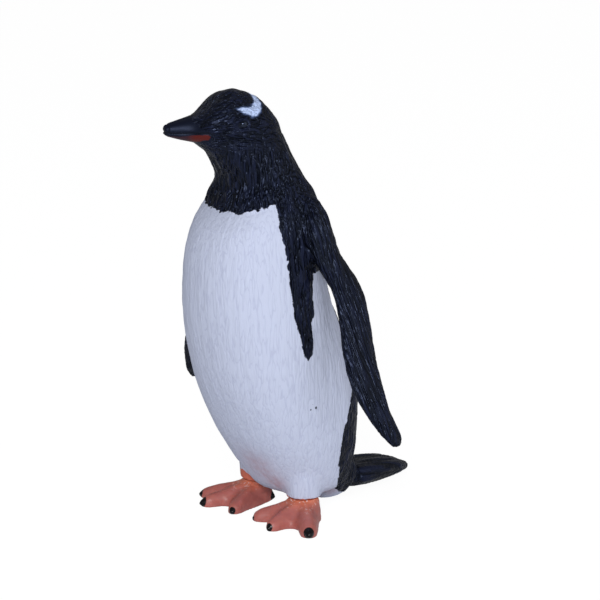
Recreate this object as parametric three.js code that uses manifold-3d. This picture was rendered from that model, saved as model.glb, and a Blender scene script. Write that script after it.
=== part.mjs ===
// A standing gentoo penguin figurine in solid moulded PVC, about 90 mm tall.
// Nine castings are glued together with round pegs in blind sockets: the torso, the head with
// its neck, two flippers, two webbed feet, the tail and two bead eyes.
// Millimetres, +Z up. The penguin faces -Y, its left side is +X, and its soles rest on Z = 0.
import * as THREE from 'three';
import { mergeVertices } from 'three/addons/utils/BufferGeometryUtils.js';
import Module from 'manifold-3d';

const wasm = await Module();
wasm.setup();

// Fits
const glueGap = 0.3; // left between the faces of every glued joint
const pegPlay = 0.3; // radial room round every peg
const pegSides = 20;

// Torso: stations from the hem over the feet up to the neck seat, as shares of the torso's own
// sizes. Its reaches are measured from the line through both ankles. The back of a station sits
// higher by its lean, and its widest point lies at a share of the depth, counted from the back.
const hemHeight = 5.0;
const torsoHeight = 59.8;
const torsoWidth = 31.8;
const breastReach = 20.0;
const rumpReach = 15.3;
const seatLean = 5.7; // how much higher the neck seat is at the back
const torsoStations = [
  { level: 0.000, front: 0.140, back: 0.771, width: 0.579, lean: 0.000, widest: 0.50 },
  { level: 0.020, front: 0.210, back: 0.863, width: 0.698, lean: 0.000, widest: 0.50 },
  { level: 0.060, front: 0.290, back: 0.908, width: 0.786, lean: 0.000, widest: 0.50 },
  { level: 0.125, front: 0.410, back: 0.941, width: 0.868, lean: 0.000, widest: 0.50 },
  { level: 0.201, front: 0.555, back: 0.980, width: 0.937, lean: 0.000, widest: 0.50 },
  { level: 0.301, front: 0.705, back: 1.000, width: 0.987, lean: 0.000, widest: 0.50 },
  { level: 0.410, front: 0.840, back: 0.922, width: 1.000, lean: 0.070, widest: 0.49 },
  { level: 0.552, front: 0.945, back: 0.732, width: 0.975, lean: 0.211, widest: 0.48 },
  { level: 0.686, front: 1.000, back: 0.529, width: 0.918, lean: 0.386, widest: 0.45 },
  { level: 0.828, front: 0.985, back: 0.405, width: 0.849, lean: 0.596, widest: 0.43 },
  { level: 0.928, front: 0.893, back: 0.335, width: 0.780, lean: 0.842, widest: 0.41 },
  { level: 1.000, front: 0.713, back: 0.163, width: 0.640, lean: 1.000, widest: 0.42 },
];
const torsoFullness = 2.2; // exponent of the oval sections: 2 is an ellipse, more is squarer
const torsoRings = 25;
const torsoSides = 40;

// Vent: the low lump of feathers under the tail
const ventBack = 11.2;
const ventHeight = 7.2;
const ventWidth = 16.6;
const ventDepth = 12.6;
const ventTall = 13.4;

// Legs: the short feathered stumps that the ankles plug into
const stance = 16.2; // between the ankles' centres
const legRadius = 3.5;
const legFlare = 0.8; // how much wider a stump is at its top
const legSides = 28;

// Head and neck: stations from the neck seat round the skull to the bill's tip, as shares of the
// head's own sizes. back and front are the two ends of a station in the head's profile: reach
// is measured forward of the middle of the neck seat and rise above it. The first station comes
// from the torso's last one.
const hoodProud = 0.2; // how far the hood's edge stands out from the breast
const headTurn = 20; // degrees, to the penguin's right
const billReach = 18.5;
const crownRise = 20.1;
const skullWidth = 13.4;
const headStations = [
  { backReach: -0.440, backRise: 0.209, frontReach: 0.372, frontRise: 0.020, width: 1.330 },
  { backReach: -0.370, backRise: 0.338, frontReach: 0.376, frontRise: 0.149, width: 1.205 },
  { backReach: -0.315, backRise: 0.458, frontReach: 0.428, frontRise: 0.249, width: 1.105 },
  { backReach: -0.262, backRise: 0.597, frontReach: 0.492, frontRise: 0.338, width: 1.030 },
  { backReach: -0.186, backRise: 0.727, frontReach: 0.556, frontRise: 0.400, width: 0.985 },
  { backReach: -0.066, backRise: 0.862, frontReach: 0.617, frontRise: 0.440, width: 0.948 },
  { backReach: 0.092, backRise: 0.953, frontReach: 0.662, frontRise: 0.470, width: 0.903 },
  { backReach: 0.270, backRise: 0.988, frontReach: 0.692, frontRise: 0.487, width: 0.828 },
  { backReach: 0.438, backRise: 0.932, frontReach: 0.730, frontRise: 0.498, width: 0.694 },
  { backReach: 0.575, backRise: 0.810, frontReach: 0.773, frontRise: 0.507, width: 0.507 },
  { backReach: 0.697, backRise: 0.754, frontReach: 0.838, frontRise: 0.522, width: 0.366 },
  { backReach: 0.827, backRise: 0.719, frontReach: 0.903, frontRise: 0.540, width: 0.276 },
  { backReach: 0.951, backRise: 0.687, frontReach: 0.973, frontRise: 0.562, width: 0.194 },
  { backReach: 0.996, backRise: 0.668, frontReach: 1.012, frontRise: 0.590, width: 0.142 },
];
const turnedBy = 5; // the station at which the neck has made its whole turn
const headFullness = 2.15;
const headRings = 34;
const headSides = 30;
const neckPegRadius = 4.5;
const neckPegLength = 5.0;

// Eyes: glossy beads with a straight shank
const eyeRadius = 0.9;
const eyeReach = 0.222 * billReach;
const eyeRise = 0.7 * crownRise;
const eyeProud = 0.25; // how far the dome stands out of the face
const eyeShank = 1.8;
const eyeSides = 16;

// Flippers: blades that hang from the shoulders, as shares of their own sizes. drop and out
// follow the middle of the blade down and outwards from its root on the neck. Its edges, front
// and back, are measured behind the ankles.
const flipperLength = 46.5;
const flipperSpread = 21.5; // from the root out to the tip
const flipperWidth = 8.4;
const flipperThickness = 4.0;
const rootRise = 2.0; // of the root over the front of the neck seat
const rootSide = 0.35 * torsoWidth;
const flipperStations = [
  { drop: 0.000, out: 0.000, front: -0.214, back: 0.100, thick: 0.400 },
  { drop: 0.040, out: 0.045, front: -0.333, back: 0.190, thick: 0.700 },
  { drop: 0.090, out: 0.096, front: -0.417, back: 0.250, thick: 0.900 },
  { drop: 0.152, out: 0.146, front: -0.476, back: 0.290, thick: 1.000 },
  { drop: 0.244, out: 0.212, front: -0.405, back: 0.400, thick: 0.975 },
  { drop: 0.325, out: 0.290, front: -0.226, back: 0.620, thick: 0.900 },
  { drop: 0.400, out: 0.368, front: -0.107, back: 0.730, thick: 0.825 },
  { drop: 0.501, out: 0.467, front: -0.167, back: 0.695, thick: 0.775 },
  { drop: 0.611, out: 0.571, front: -0.286, back: 0.610, thick: 0.725 },
  { drop: 0.708, out: 0.679, front: -0.357, back: 0.565, thick: 0.675 },
  { drop: 0.787, out: 0.769, front: -0.310, back: 0.535, thick: 0.625 },
  { drop: 0.848, out: 0.840, front: -0.190, back: 0.505, thick: 0.600 },
  { drop: 0.910, out: 0.906, front: -0.036, back: 0.560, thick: 0.550 },
  { drop: 0.963, out: 0.962, front: 0.131, back: 0.625, thick: 0.450 },
  { drop: 1.000, out: 1.000, front: 0.333, back: 0.540, thick: 0.250 },
];
const flipperFullness = 2.2;
const flipperRings = 26;
const flipperSides = 18;
const shoulderDrop = 7.3; // of the peg, below the front of the neck seat
const shoulderSide = 0.43 * torsoWidth; // where the peg leaves the flipper
const shoulderAhead = 0.8; // of the ankles
const shoulderTurn = 12; // degrees that the peg leans forward as it goes in
const flipperPegRadius = 1.5;
const flipperPegLength = 4.6;

// Tail: a stiff wedge that points straight back from the vent, as shares of its own sizes
const tailLength = 19.8;
const tailWidth = 10.6;
const tailThickness = 5.4;
const tailRise = 4.45; // of its middle over the ground, at the root
const tailRoot = ventBack + 0.22 * ventDepth;
const tailStations = [
  { along: 0.000, width: 0.604, height: 1.000, above: 0.350, below: 0.333 },
  { along: 0.121, width: 0.849, height: 0.983, above: 0.490, below: 0.444 },
  { along: 0.253, width: 1.000, height: 0.945, above: 0.505, below: 0.455 },
  { along: 0.505, width: 0.943, height: 0.900, above: 0.450, below: 0.400 },
  { along: 0.732, width: 0.792, height: 0.865, above: 0.340, below: 0.310 },
  { along: 0.879, width: 0.547, height: 0.785, above: 0.230, below: 0.215 },
  { along: 0.960, width: 0.302, height: 0.730, above: 0.150, below: 0.150 },
  { along: 1.000, width: 0.132, height: 0.705, above: 0.090, below: 0.090 },
];
const tailFullness = 2.6;
const tailRings = 13;
const tailSides = 20;
const tailPegStart = ventBack + ventDepth / 2 + glueGap; // just outside the vent
const tailPegRadius = 1.5;
const tailPegLength = 5.0;

// Feet: three webbed toes, a small hind toe and a round ankle. Turns are in degrees outwards from
// straight ahead and reaches from the middle of the ankle. The two feet were modelled apart.
// A claw is a share of the largest one.
const leftToes = {
  inner: { turn: -31, reach: 10.3, claw: 0.55 },
  middle: { turn: 11, reach: 10.9, claw: 0.75 },
  outer: { turn: 56, reach: 12.9, claw: 1.0 },
};
const rightToes = {
  inner: { turn: -28, reach: 11.0, claw: 0.7 },
  middle: { turn: 14, reach: 11.6, claw: 0.9 },
  outer: { turn: 47, reach: 11.0, claw: 0.8 },
};
const hindToe = { turn: -136, reach: 3.8, claw: 1.0 };
const webReach = 7.5; // to the hollow edge between two toes
const heelReach = 3.6;
const toeSpread = 6.5; // degrees from a toe's middle to the corner of its tip
const ridgeWidth = 1.8; // of a toe's back, from its middle to the web
const toeHeight = 4.4;
// Heights of the toes' backs and of the web, as shares of the toes' height, from the rim inwards
const footStations = [
  { along: 1.00, toe: 0.22, web: 0.13 },
  { along: 0.97, toe: 0.44, web: 0.23 },
  { along: 0.88, toe: 0.57, web: 0.27 },
  { along: 0.72, toe: 0.68, web: 0.35 },
  { along: 0.54, toe: 0.80, web: 0.52 },
  { along: 0.36, toe: 0.93, web: 0.80 },
  { along: 0.15, toe: 1.00, web: 1.00 },
];
const footSides = 72;
const ankleRadius = 3.0;
const heelFlare = 0.6;
const clawWidth = 1.9;
const clawLength = 2.4;
const clawHeight = 2.0;
const clawInset = 0.5; // of a claw's middle, behind the toe's tip
const footPegRadius = 1.8;
const footPegLength = 4.0;

// Colours
const paintBlack = '#1b1e2c';
const paintWhite = '#d9dde8';
const bareOrange = '#b5665e';
const glossBlack = '#0a0a0d';

const degrees = THREE.MathUtils.degToRad;

// A closed geometry as a manifold solid.
function solidOf(geometry) {
  const bare = geometry.index ? geometry.toNonIndexed() : geometry.clone();
  bare.deleteAttribute('normal');
  bare.deleteAttribute('uv');
  const merged = mergeVertices(bare, 1e-4);
  return new wasm.Manifold(new wasm.Mesh({
    numProp: 3,
    vertProperties: merged.attributes.position.array,
    triVerts: new Uint32Array(merged.index.array),
  }));
}

// A manifold solid as a flat-shaded geometry.
function geometryOf(solid) {
  const { vertProperties, triVerts } = solid.getMesh();
  const geometry = new THREE.BufferGeometry();
  geometry.setAttribute('position', new THREE.BufferAttribute(vertProperties, 3));
  geometry.setIndex(new THREE.BufferAttribute(triVerts, 1));
  const flat = geometry.toNonIndexed();
  flat.computeVertexNormals();
  return flat;
}

// A closed skin through rings with equal numbers of points, capped at both ends.
function skinOf(rings) {
  const sides = rings[0].length;
  const positions = rings.flat().flatMap((point) => point.toArray());
  const faces = [];
  for (let i = 0; i < rings.length - 1; i += 1) {
    for (let j = 0; j < sides; j += 1) {
      const next = (j + 1) % sides;
      const [a, b] = [i * sides + j, i * sides + next];
      faces.push(a, b, b + sides, a, b + sides, a + sides);
    }
  }
  [rings[0], rings.at(-1)].forEach((ring, end) => {
    const middle = ring.reduce((sum, p) => sum.add(p), new THREE.Vector3()).divideScalar(sides);
    const hub = positions.push(...middle.toArray()) / 3 - 1;
    const first = end ? (rings.length - 1) * sides : 0;
    for (let j = 0; j < sides; j += 1) {
      const [a, b] = [first + j, first + ((j + 1) % sides)];
      if (end) faces.push(a, b, hub);
      else faces.push(b, a, hub);
    }
  });
  const geometry = new THREE.BufferGeometry();
  geometry.setAttribute('position', new THREE.Float32BufferAttribute(positions, 3));
  geometry.setIndex(faces);
  return geometry;
}

// One ring: an oval that reaches half to both sides, above along upwards and below against it.
function ovalRing({ middle, sideways, upwards, half, above, below, fullness, sides }) {
  const bulge = (value) => Math.sign(value) * Math.abs(value) ** (2 / fullness);
  return Array.from({ length: sides }, (_, i) => {
    const turn = (2 * Math.PI * i) / sides;
    const across = bulge(Math.cos(turn));
    const up = bulge(Math.sin(turn));
    return middle.clone()
      .addScaledVector(sideways, across * half)
      .addScaledVector(upwards, up * (up > 0 ? above : below));
  });
}

// Rings at even steps over all the stations, with smooth values between them.
function ringsOver(stations, count, ringAt) {
  const names = Object.keys(stations[0]);
  const values = stations.flatMap((station) => names.map((name) => station[name]));
  const curve = new THREE.CubicInterpolant(stations.map((_, i) => i), values, names.length);
  return Array.from({ length: count }, (_, i) => {
    const station = ((stations.length - 1) * i) / (count - 1);
    const found = curve.evaluate(station);
    return ringAt(Object.fromEntries(names.map((name, n) => [name, found[n]])), station);
  });
}

// A ring that spans from back to front in a profile, and half to both sides of it.
function profileRing({ back, front, sideways, half, widest, grown, fullness, sides }) {
  const middle = back.clone().lerp(front, widest);
  return ovalRing({
    middle,
    sideways,
    upwards: back.clone().sub(front).normalize(),
    half: half + grown,
    above: middle.distanceTo(back) + grown,
    below: middle.distanceTo(front) + grown,
    fullness,
    sides,
  });
}

const at = (x, y, z) => new THREE.Matrix4().makeTranslation(x, y, z);
const aboutX = (angle) => new THREE.Matrix4().makeRotationX(degrees(angle));
const aboutY = (angle) => new THREE.Matrix4().makeRotationY(degrees(angle));
const aboutZ = (angle) => new THREE.Matrix4().makeRotationZ(degrees(angle));
const placed = (solid, matrix) => solid.transform(matrix.elements);

// A round pin on the Z axis between two heights.
function pin(radius, low, high, sides = pegSides) {
  const cylinder = new THREE.CylinderGeometry(radius, radius, high - low, sides);
  return solidOf(cylinder.rotateX(Math.PI / 2).translate(0, 0, (low + high) / 2));
}

// A block between two opposite corners.
function block(low, high) {
  const size = new THREE.Vector3().subVectors(high, low);
  const middle = new THREE.Vector3().addVectors(low, high).divideScalar(2);
  const box = new THREE.BoxGeometry(size.x, size.y, size.z);
  return solidOf(box.translate(middle.x, middle.y, middle.z));
}

// Every glued joint: a peg that starts with its root inside its own piece, and a blind socket
// that is wider by the play, deeper by the glue gap and open through its mouth.
const pegRoot = 1.2;
const socketMouth = 1.5;
const pegOf = (radius, length) => pin(radius, -pegRoot, length);
const socketOf = (radius, length) => pin(radius + pegPlay, -socketMouth, length + glueGap);

// A torso station's front and back in the middle plane, and half its width.
function torsoSpan(s) {
  const level = hemHeight + s.level * torsoHeight;
  return {
    back: new THREE.Vector3(0, s.back * rumpReach, level + s.lean * seatLean),
    front: new THREE.Vector3(0, -s.front * breastReach, level),
    half: (s.width * torsoWidth) / 2,
  };
}

// The neck seat: a plane that rises to the back. Its frame stands in the middle of the seat.
const seat = torsoSpan(torsoStations.at(-1));
const seatHeight = seat.front.z;
const seatDepth = seat.back.y - seat.front.y;
const seatMiddle = seat.front.clone().lerp(seat.back, 0.5);
const seatTilt = THREE.MathUtils.radToDeg(Math.atan2(seatLean, seatDepth));
const neckLift = glueGap / Math.cos(degrees(seatTilt));
const neckFrame = at(seatMiddle.x, seatMiddle.y, seatMiddle.z + neckLift);

function torsoSkin(grown) {
  const rings = ringsOver(torsoStations, torsoRings, (s) => profileRing({
    ...torsoSpan(s),
    sideways: new THREE.Vector3(1, 0, 0),
    widest: s.widest,
    grown,
    fullness: torsoFullness,
    sides: torsoSides,
  }));
  return solidOf(skinOf(rings));
}

function vent(grown) {
  const ball = new THREE.SphereGeometry(0.5, 24, 14);
  ball.scale(ventWidth + 2 * grown, ventDepth + 2 * grown, ventTall + 2 * grown);
  return solidOf(ball.translate(0, ventBack, ventHeight));
}

// A stump reaches up past the foot's peg, well inside the torso.
function leg(side) {
  const height = footPegLength + legRadius;
  const stump = new THREE.CylinderGeometry(legRadius + legFlare, legRadius, height, legSides);
  stump.rotateX(Math.PI / 2).translate((side * stance) / 2, 0, hemHeight + height / 2);
  return solidOf(stump);
}

// The head with its neck, upright over the neck seat.
function headSkin(grown) {
  const reach = seatDepth / 2 + hoodProud;
  const first = {
    backReach: -reach / billReach,
    backRise: seatLean / 2 / crownRise,
    frontReach: reach / billReach,
    frontRise: -seatLean / 2 / crownRise,
    width: (2 * (seat.half + hoodProud)) / skullWidth,
  };
  const inProfile = (reachShare, riseShare, turned) =>
    new THREE.Vector3(0, -reachShare * billReach, riseShare * crownRise).applyMatrix4(turned);
  const rings = ringsOver([first, ...headStations], headRings, (s, station) => {
    const turned = aboutZ(-headTurn * Math.min(1, station / turnedBy));
    return profileRing({
      back: inProfile(s.backReach, s.backRise, turned),
      front: inProfile(s.frontReach, s.frontRise, turned),
      sideways: new THREE.Vector3(1, 0, 0).applyMatrix4(turned),
      half: (s.width * skullWidth) / 2,
      widest: 0.5,
      grown,
      fullness: headFullness,
      sides: headSides,
    });
  });
  return placed(solidOf(skinOf(rings)), neckFrame);
}

const head = headSkin(0);
const headFrame = neckFrame.clone().multiply(aboutZ(-headTurn));

// Half the width of the face where the eyes sit.
const eyeLine = placed(
  block(
    new THREE.Vector3(-torsoWidth, -eyeReach - eyeRadius / 2, eyeRise - eyeRadius / 2),
    new THREE.Vector3(torsoWidth, -eyeReach + eyeRadius / 2, eyeRise + eyeRadius / 2),
  ),
  headFrame,
);
const faceHalf = placed(head.intersect(eyeLine), headFrame.clone().invert())
  .boundingBox().max[0];

// The frame of an eye: +Z looks out of the face, square to the head.
const eyeFrame = (side) => headFrame.clone()
  .multiply(at(side * faceHalf, -eyeReach, eyeRise))
  .multiply(aboutY(side * 90));

function eye(side) {
  const dome = [0, 15, 30, 45, 60, 75, 90].map(degrees).map((turn) => new THREE.Vector2(
    eyeRadius * Math.cos(turn),
    eyeProud * Math.sin(turn),
  ));
  dome.at(-1).x = 0;
  const outline = [new THREE.Vector2(0, -eyeShank), new THREE.Vector2(eyeRadius, -eyeShank)];
  const bead = new THREE.LatheGeometry([...outline, ...dome], eyeSides);
  return placed(solidOf(bead.rotateX(Math.PI / 2)), eyeFrame(side));
}

function eyeSocket(side) {
  const bore = pin(eyeRadius + glueGap, -eyeShank - glueGap, eyeRadius, eyeSides);
  return placed(bore, eyeFrame(side));
}

const torsoRoom = torsoSkin(glueGap).add(vent(glueGap));
const headRoom = headSkin(glueGap);

// A left flipper; its root follows the flank at the glue gap.
const flipperPegFrame = at(shoulderSide, -shoulderAhead, seatHeight - shoulderDrop)
  .multiply(aboutZ(shoulderTurn))
  .multiply(aboutY(-90));

function flipper() {
  const rings = ringsOver(flipperStations, flipperRings, (s) => ovalRing({
    middle: new THREE.Vector3(
      rootSide + s.out * flipperSpread,
      ((s.front + s.back) / 2) * flipperWidth,
      seatHeight + rootRise - s.drop * flipperLength,
    ),
    sideways: new THREE.Vector3(-1, 0, 0),
    upwards: new THREE.Vector3(0, 1, 0),
    half: (s.thick * flipperThickness) / 2,
    above: ((s.back - s.front) / 2) * flipperWidth,
    below: ((s.back - s.front) / 2) * flipperWidth,
    fullness: flipperFullness,
    sides: flipperSides,
  }));
  const peg = placed(pegOf(flipperPegRadius, flipperPegLength), flipperPegFrame);
  return solidOf(skinOf(rings)).subtract(torsoRoom).subtract(headRoom).add(peg);
}

const tailPegFrame = at(0, tailPegStart, tailRise).multiply(aboutX(90));

function tail() {
  const rings = ringsOver(tailStations, tailRings, (s) => ovalRing({
    middle: new THREE.Vector3(0, tailRoot + s.along * tailLength, s.height * tailRise),
    sideways: new THREE.Vector3(-1, 0, 0),
    upwards: new THREE.Vector3(0, 0, 1),
    half: (s.width * tailWidth) / 2,
    above: s.above * tailThickness,
    below: s.below * tailThickness,
    fullness: tailFullness,
    sides: tailSides,
  }));
  const peg = placed(pegOf(tailPegRadius, tailPegLength), tailPegFrame);
  return solidOf(skinOf(rings)).subtract(torsoRoom).add(peg);
}

const ankleTop = hemHeight - glueGap;
const ankleFrame = at(stance / 2, 0, 0);

// A point of the foot's plan, from the middle of the ankle.
function inPlan(turn, distance) {
  const angle = degrees(turn - 90);
  return new THREE.Vector3(distance * Math.cos(angle), distance * Math.sin(angle), 0);
}

// The foot's outline: round the hind toe, the three long toes, the webs and the heel.
function footOutline({ inner, middle, outer }) {
  const tip = ({ turn, reach }) => [
    inPlan(turn - toeSpread, 0.94 * reach),
    inPlan(turn, reach),
    inPlan(turn + toeSpread, 0.94 * reach),
  ];
  const hollow = (a, b) => [0.36, 0.64].map((share) =>
    inPlan(THREE.MathUtils.lerp(a.turn, b.turn, share), webReach));
  return new THREE.CatmullRomCurve3([
    inPlan(hindToe.turn, hindToe.reach),
    inPlan(-100, heelReach),
    inPlan(-70, 1.25 * heelReach),
    inPlan(inner.turn - 2 * toeSpread, 0.72 * inner.reach),
    ...tip(inner),
    ...hollow(inner, middle),
    ...tip(middle),
    ...hollow(middle, outer),
    ...tip(outer),
    inPlan(outer.turn + 2 * toeSpread, 0.72 * outer.reach),
    inPlan(outer.turn + 40, 1.25 * heelReach),
    inPlan(130, heelReach),
    inPlan(180, heelReach),
  ], true, 'centripetal');
}

// The webbed sole: rings from the ground up to the ankle, over the toes' backs and the webs.
function webbedSole(toes) {
  const rim = footOutline(toes).getSpacedPoints(footSides).slice(0, -1);
  const axes = [...Object.values(toes), hindToe].map(({ turn }) => inPlan(turn, 1));
  const ridge = (point) => Math.max(...axes.map((axis) => {
    const ahead = point.dot(axis);
    const aside = point.clone().cross(axis).length();
    return ahead > 0 ? Math.exp(-((aside / ridgeWidth) ** 2)) : 0;
  }));
  const onGround = (along) => rim.map((point) => point.clone().multiplyScalar(along));
  const onTop = ({ along, toe, web }) => onGround(along).map((point) => {
    const share = THREE.MathUtils.lerp(web, toe, ridge(point));
    return point.setZ(share * toeHeight);
  });
  return solidOf(skinOf([onGround(0.15), onGround(1), ...footStations.map(onTop)]));
}

function claw({ turn, reach, claw: size }) {
  const nail = new THREE.SphereGeometry(0.5, 12, 8);
  nail.scale(clawWidth * size, clawLength * size, clawHeight * size);
  nail.translate(0, clawInset - reach, (clawHeight * size) / 2);
  return placed(solidOf(nail), aboutZ(turn));
}

// A foot with its toes spread as a left one's.
function foot(toes) {
  const ankle = new THREE.CylinderGeometry(ankleRadius, ankleRadius + heelFlare, ankleTop, 28);
  ankle.rotateX(Math.PI / 2).translate(0, 0, ankleTop / 2);
  const peg = pegOf(footPegRadius, footPegLength).translate([0, 0, ankleTop]);
  const claws = [...Object.values(toes), hindToe].map(claw);
  const flesh = webbedSole(toes).add(solidOf(ankle)).add(peg);
  return placed(claws.reduce((all, one) => all.add(one), flesh), ankleFrame);
}

const footSocket = placed(
  socketOf(footPegRadius, footPegLength).translate([0, 0, ankleTop]),
  ankleFrame,
);
const flipperSocket = placed(socketOf(flipperPegRadius, flipperPegLength), flipperPegFrame);
const tailSocket = placed(socketOf(tailPegRadius, tailPegLength), tailPegFrame);
const neckPegFrame = neckFrame.clone().multiply(aboutX(180 + seatTilt));
const neckSocket = placed(socketOf(neckPegRadius, neckPegLength), neckPegFrame);
const neckPeg = placed(pegOf(neckPegRadius, neckPegLength), neckPegFrame);
const mirrored = (solid) => solid.mirror([1, 0, 0]);

const torso = torsoSkin(0)
  .add(vent(0))
  .add(leg(1))
  .add(leg(-1))
  .subtract(neckSocket)
  .subtract(flipperSocket)
  .subtract(mirrored(flipperSocket))
  .subtract(tailSocket)
  .subtract(footSocket)
  .subtract(mirrored(footSocket));

const castings = new THREE.Group();
castings.name = 'castings';

function casting(name, solid, color, roughness) {
  const material = new THREE.MeshStandardMaterial({ color, roughness, metalness: 0 });
  const mesh = new THREE.Mesh(geometryOf(solid), material);
  mesh.name = name;
  castings.add(mesh);
}

casting('torso', torso, paintWhite, 0.55);
casting(
  'head',
  head.add(neckPeg).subtract(eyeSocket(1)).subtract(eyeSocket(-1)),
  paintBlack,
  0.5,
);
casting('eye_left', eye(1), glossBlack, 0.1);
casting('eye_right', eye(-1), glossBlack, 0.1);
casting('flipper_left', flipper(), paintBlack, 0.5);
casting('flipper_right', mirrored(flipper()), paintBlack, 0.5);
casting('tail', tail(), paintBlack, 0.5);
casting('foot_left', foot(leftToes), bareOrange, 0.45);
casting('foot_right', mirrored(foot(rightToes)), bareOrange, 0.45);

// The origin lies on the ground, below the middle of the figurine's bounding box.
const box = new THREE.Box3().setFromObject(castings);
castings.position.set(-(box.min.x + box.max.x) / 2, -(box.min.y + box.max.y) / 2, -box.min.z);

const penguin = new THREE.Group();
penguin.name = 'penguin_figurine';
penguin.add(castings);

export default penguin;
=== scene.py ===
# A standing gentoo penguin figurine, 88 mm tall: moulded in soft PVC, glued together from nine
# castings and painted by hand. The penguin faces -Y and its left side is +X.
import itertools
import math

import bpy
import numpy as np
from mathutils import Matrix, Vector
from mathutils.bvhtree import BVHTree


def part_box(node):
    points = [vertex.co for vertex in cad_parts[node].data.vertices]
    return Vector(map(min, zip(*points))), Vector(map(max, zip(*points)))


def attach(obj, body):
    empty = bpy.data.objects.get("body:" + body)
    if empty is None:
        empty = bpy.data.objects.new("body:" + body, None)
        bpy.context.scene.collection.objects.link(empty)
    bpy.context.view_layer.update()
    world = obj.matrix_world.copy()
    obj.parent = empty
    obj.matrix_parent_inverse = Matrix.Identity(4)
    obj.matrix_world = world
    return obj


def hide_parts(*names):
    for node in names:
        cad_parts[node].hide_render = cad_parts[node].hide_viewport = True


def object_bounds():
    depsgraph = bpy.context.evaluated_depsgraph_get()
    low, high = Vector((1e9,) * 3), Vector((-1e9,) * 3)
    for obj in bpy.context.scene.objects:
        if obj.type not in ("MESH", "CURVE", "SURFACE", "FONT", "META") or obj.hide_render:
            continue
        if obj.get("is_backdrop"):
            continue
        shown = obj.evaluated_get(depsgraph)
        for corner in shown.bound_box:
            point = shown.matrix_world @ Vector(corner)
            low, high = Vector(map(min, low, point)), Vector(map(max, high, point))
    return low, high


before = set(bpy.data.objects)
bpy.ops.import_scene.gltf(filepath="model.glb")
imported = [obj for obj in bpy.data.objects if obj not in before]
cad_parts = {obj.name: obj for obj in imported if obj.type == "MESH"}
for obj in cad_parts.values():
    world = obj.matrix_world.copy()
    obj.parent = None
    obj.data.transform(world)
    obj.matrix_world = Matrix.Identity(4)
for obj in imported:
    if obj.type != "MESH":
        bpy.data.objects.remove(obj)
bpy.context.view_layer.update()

# Camera: the photograph looks at the penguin from its front left and a little from above, with a
# long lens. Lengths here and below are in millimetres and become metres where a mesh is made.
MM = 0.001
camera_place = Vector((521.6, -420.3, 217.5))
camera_azimuth = math.radians(51.1)
camera_elevation = math.radians(14.6)
camera_lens = 206.6

camera_data = bpy.data.cameras.new("camera")
camera_data.lens = camera_lens
camera_data.sensor_width = 36.0
camera_data.clip_start = 0.01
camera = bpy.data.objects.new("camera", camera_data)
looks_along = Vector((
    -math.sin(camera_azimuth) * math.cos(camera_elevation),
    math.cos(camera_azimuth) * math.cos(camera_elevation),
    -math.sin(camera_elevation),
))
camera.rotation_euler = looks_along.to_track_quat("-Z", "Y").to_euler()
camera.location = camera_place * MM
bpy.context.scene.collection.objects.link(camera)
bpy.context.scene.camera = camera

# The feathered skin: the torso, head, flippers and tail are cast apart in PVC and their joints
# are glued and smoothed before painting, so the feathers run across them. The five castings are
# drawn as one skin here, carved and painted as one, and parted again at the joints.
skin_names = ["torso", "head", "flipper_left", "flipper_right", "tail"]
joint_fill = 0.2  # closes the glued gaps while the castings are joined
coarse_step = 0.38  # the side of a face, halved before the carving
smoothing_rounds = 26
filler_rounds = 30


def welded(node, swell, shift=(0, 0, 0)):
    """A plain casting's corners and triangles in mm, with its skin moved outwards by swell."""
    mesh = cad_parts[node].data
    corners = np.array([v.co for v in mesh.vertices]) / MM
    triangles = np.array(
        [t.vertices for t in mesh.loop_triangles] or [p.vertices for p in mesh.polygons]
    )
    _, first, index = np.unique(
        np.round(corners, 3), axis=0, return_index=True, return_inverse=True
    )
    corners = corners[first]
    triangles = index.ravel()[triangles]
    a, b, c = (corners[triangles[:, i]] for i in range(3))
    area_normals = np.cross(b - a, c - a)
    normals = np.zeros_like(corners)
    for i in range(3):
        np.add.at(normals, triangles[:, i], area_normals)
    normals /= np.linalg.norm(normals, axis=1)[:, None] + 1e-9
    return corners + normals * swell + np.array(shift), triangles


def mesh_of(name, points, faces):
    """A mesh from points in mm."""
    mesh = bpy.data.meshes.new(name)
    mesh.from_pydata((np.asarray(points) * MM).tolist(), [], [tuple(f) for f in faces])
    mesh.update()
    return mesh


def points_of(mesh):
    """A mesh's points in mm."""
    flat = np.empty(len(mesh.vertices) * 3, np.float32)
    mesh.vertices.foreach_get("co", flat)
    return flat.reshape(-1, 3).astype(float) / MM


def quads_of(mesh):
    """The corners of a mesh that has only four-sided faces."""
    flat = np.empty(len(mesh.loops), np.int32)
    mesh.loops.foreach_get("vertex_index", flat)
    return flat.reshape(-1, 4)


def modified(mesh, kind, **settings):
    """The mesh as one modifier leaves it."""
    holder = bpy.data.objects.new("holder", mesh)
    bpy.context.scene.collection.objects.link(holder)
    modifier = holder.modifiers.new("step", kind)
    for name, value in settings.items():
        setattr(modifier, name, value)
    shaped = holder.evaluated_get(bpy.context.evaluated_depsgraph_get())
    result = bpy.data.meshes.new_from_object(shaped)
    bpy.data.objects.remove(holder)
    return result


def remeshed(name, parts, step):
    """The parts' outer skin in even four-sided faces, as points and quads."""
    points, faces, count = [], [], 0
    for corners, triangles in parts:
        points.append(corners)
        faces.append(triangles + count)
        count += len(corners)
    solid = mesh_of(name, np.vstack(points), np.vstack(faces))
    skin = modified(solid, "REMESH", mode="VOXEL", voxel_size=step * MM, adaptivity=0.0)
    return outer_skin(points_of(skin), quads_of(skin))


def edges_of(quads):
    """Each edge once, with the two faces that it lies between."""
    sides = np.vstack([quads[:, [i, (i + 1) % 4]] for i in range(4)])
    face = np.tile(np.arange(len(quads)), 4)
    key = np.sort(sides, axis=1)
    order = np.lexsort((key[:, 1], key[:, 0]))
    pairs = order.reshape(-1, 2)
    return key[pairs[:, 0]], face[pairs], sides[pairs]


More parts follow.
